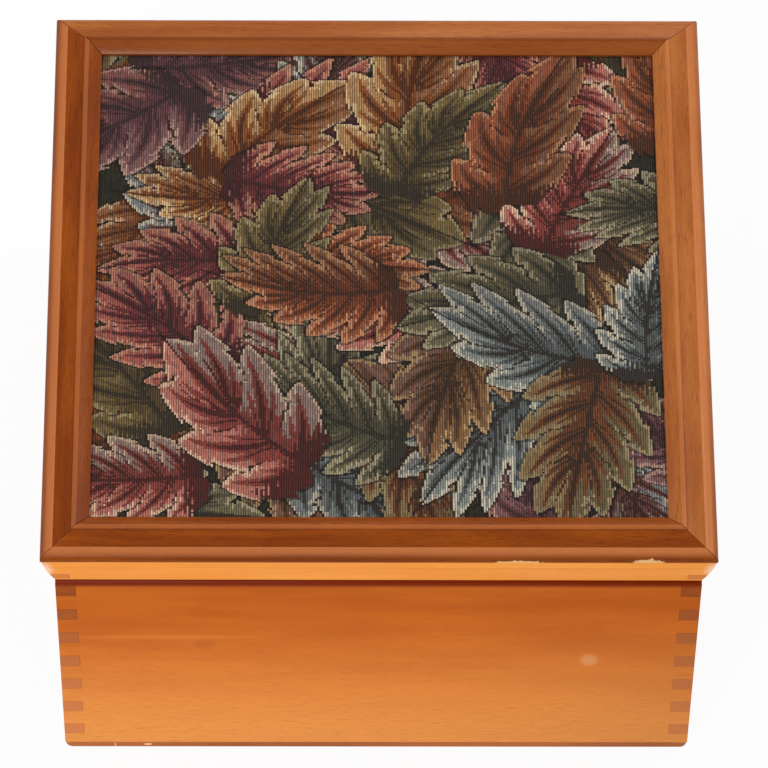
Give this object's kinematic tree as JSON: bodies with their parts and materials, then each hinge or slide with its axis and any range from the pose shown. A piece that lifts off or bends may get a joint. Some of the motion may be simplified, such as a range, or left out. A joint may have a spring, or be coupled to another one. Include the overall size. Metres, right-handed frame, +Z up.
{
  "type": "wooden sewing box",
  "caption": "Square finger-jointed wooden sewing box with a hinged lid, a moulded frame round a tapestry panel, and a sliding divided tray.",
  "frame": {"origin": "middle of the underside of the base panel", "axes": "+Z up, +Y to the back where the hinges are, +X to the right seen from the front"},
  "size_m": [0.264, 0.264, 0.1547],
  "materials": {
    "case_wood": "orange-brown varnish, satin",
    "panel_wood": "thin plywood, varnished",
    "frame_wood": "reddish brown varnish, gloss",
    "tray_wood": "pale wood, thin varnish",
    "brass": "polished, a little dull",
    "felt": "dark green felt",
    "tapestry": "ribbed jacquard tapestry with leaves",
    "wadding": "white wadding",
    "hardboard": "bare hardboard"
  },
  "bodies": {
    "case": {"front_board": "case_wood", "back_board": "case_wood", "left_board": "case_wood", "right_board": "case_wood", "base_panel": "panel_wood", "base_lining": "felt", "tray_runner_left": "tray_wood", "tray_runner_right": "tray_wood", "hinge_leaf_box_left": "brass", "hinge_leaf_box_right": "brass", "hinge_pin_left": "brass", "hinge_pin_right": "brass", "hinge_screws_box": "brass"},
    "lid": {"lid_front_board": "case_wood", "lid_back_board": "case_wood", "lid_left_board": "case_wood", "lid_right_board": "case_wood", "lid_panel": "panel_wood", "frame_front_rail": "frame_wood", "frame_right_rail": "frame_wood", "frame_back_rail": "frame_wood", "frame_left_rail": "frame_wood", "tapestry_board": "hardboard", "tapestry_wadding": "wadding", "tapestry_cover": "tapestry", "hinge_leaf_lid_left": "brass", "hinge_leaf_lid_right": "brass", "hinge_screws_lid": "brass"},
    "tray": {"tray_front_board": "tray_wood", "tray_back_board": "tray_wood", "tray_left_board": "tray_wood", "tray_right_board": "tray_wood", "tray_base_panel": "panel_wood", "tray_long_divider": "tray_wood", "tray_cross_divider_left": "tray_wood", "tray_cross_divider_right": "tray_wood"}
  },
  "joints": [
    {"name": "lid_hinge", "type": "hinge", "parent": "case", "child": "lid", "pos_m": [0, 0.12925, 0.1267], "axis": [-1, 0, 0], "range_deg": [0, 95]},
    {"name": "tray_slide", "type": "slide", "parent": "case", "child": "tray", "axis": [0, -1, 0], "range_m": [0, 0.097]}
  ]
}
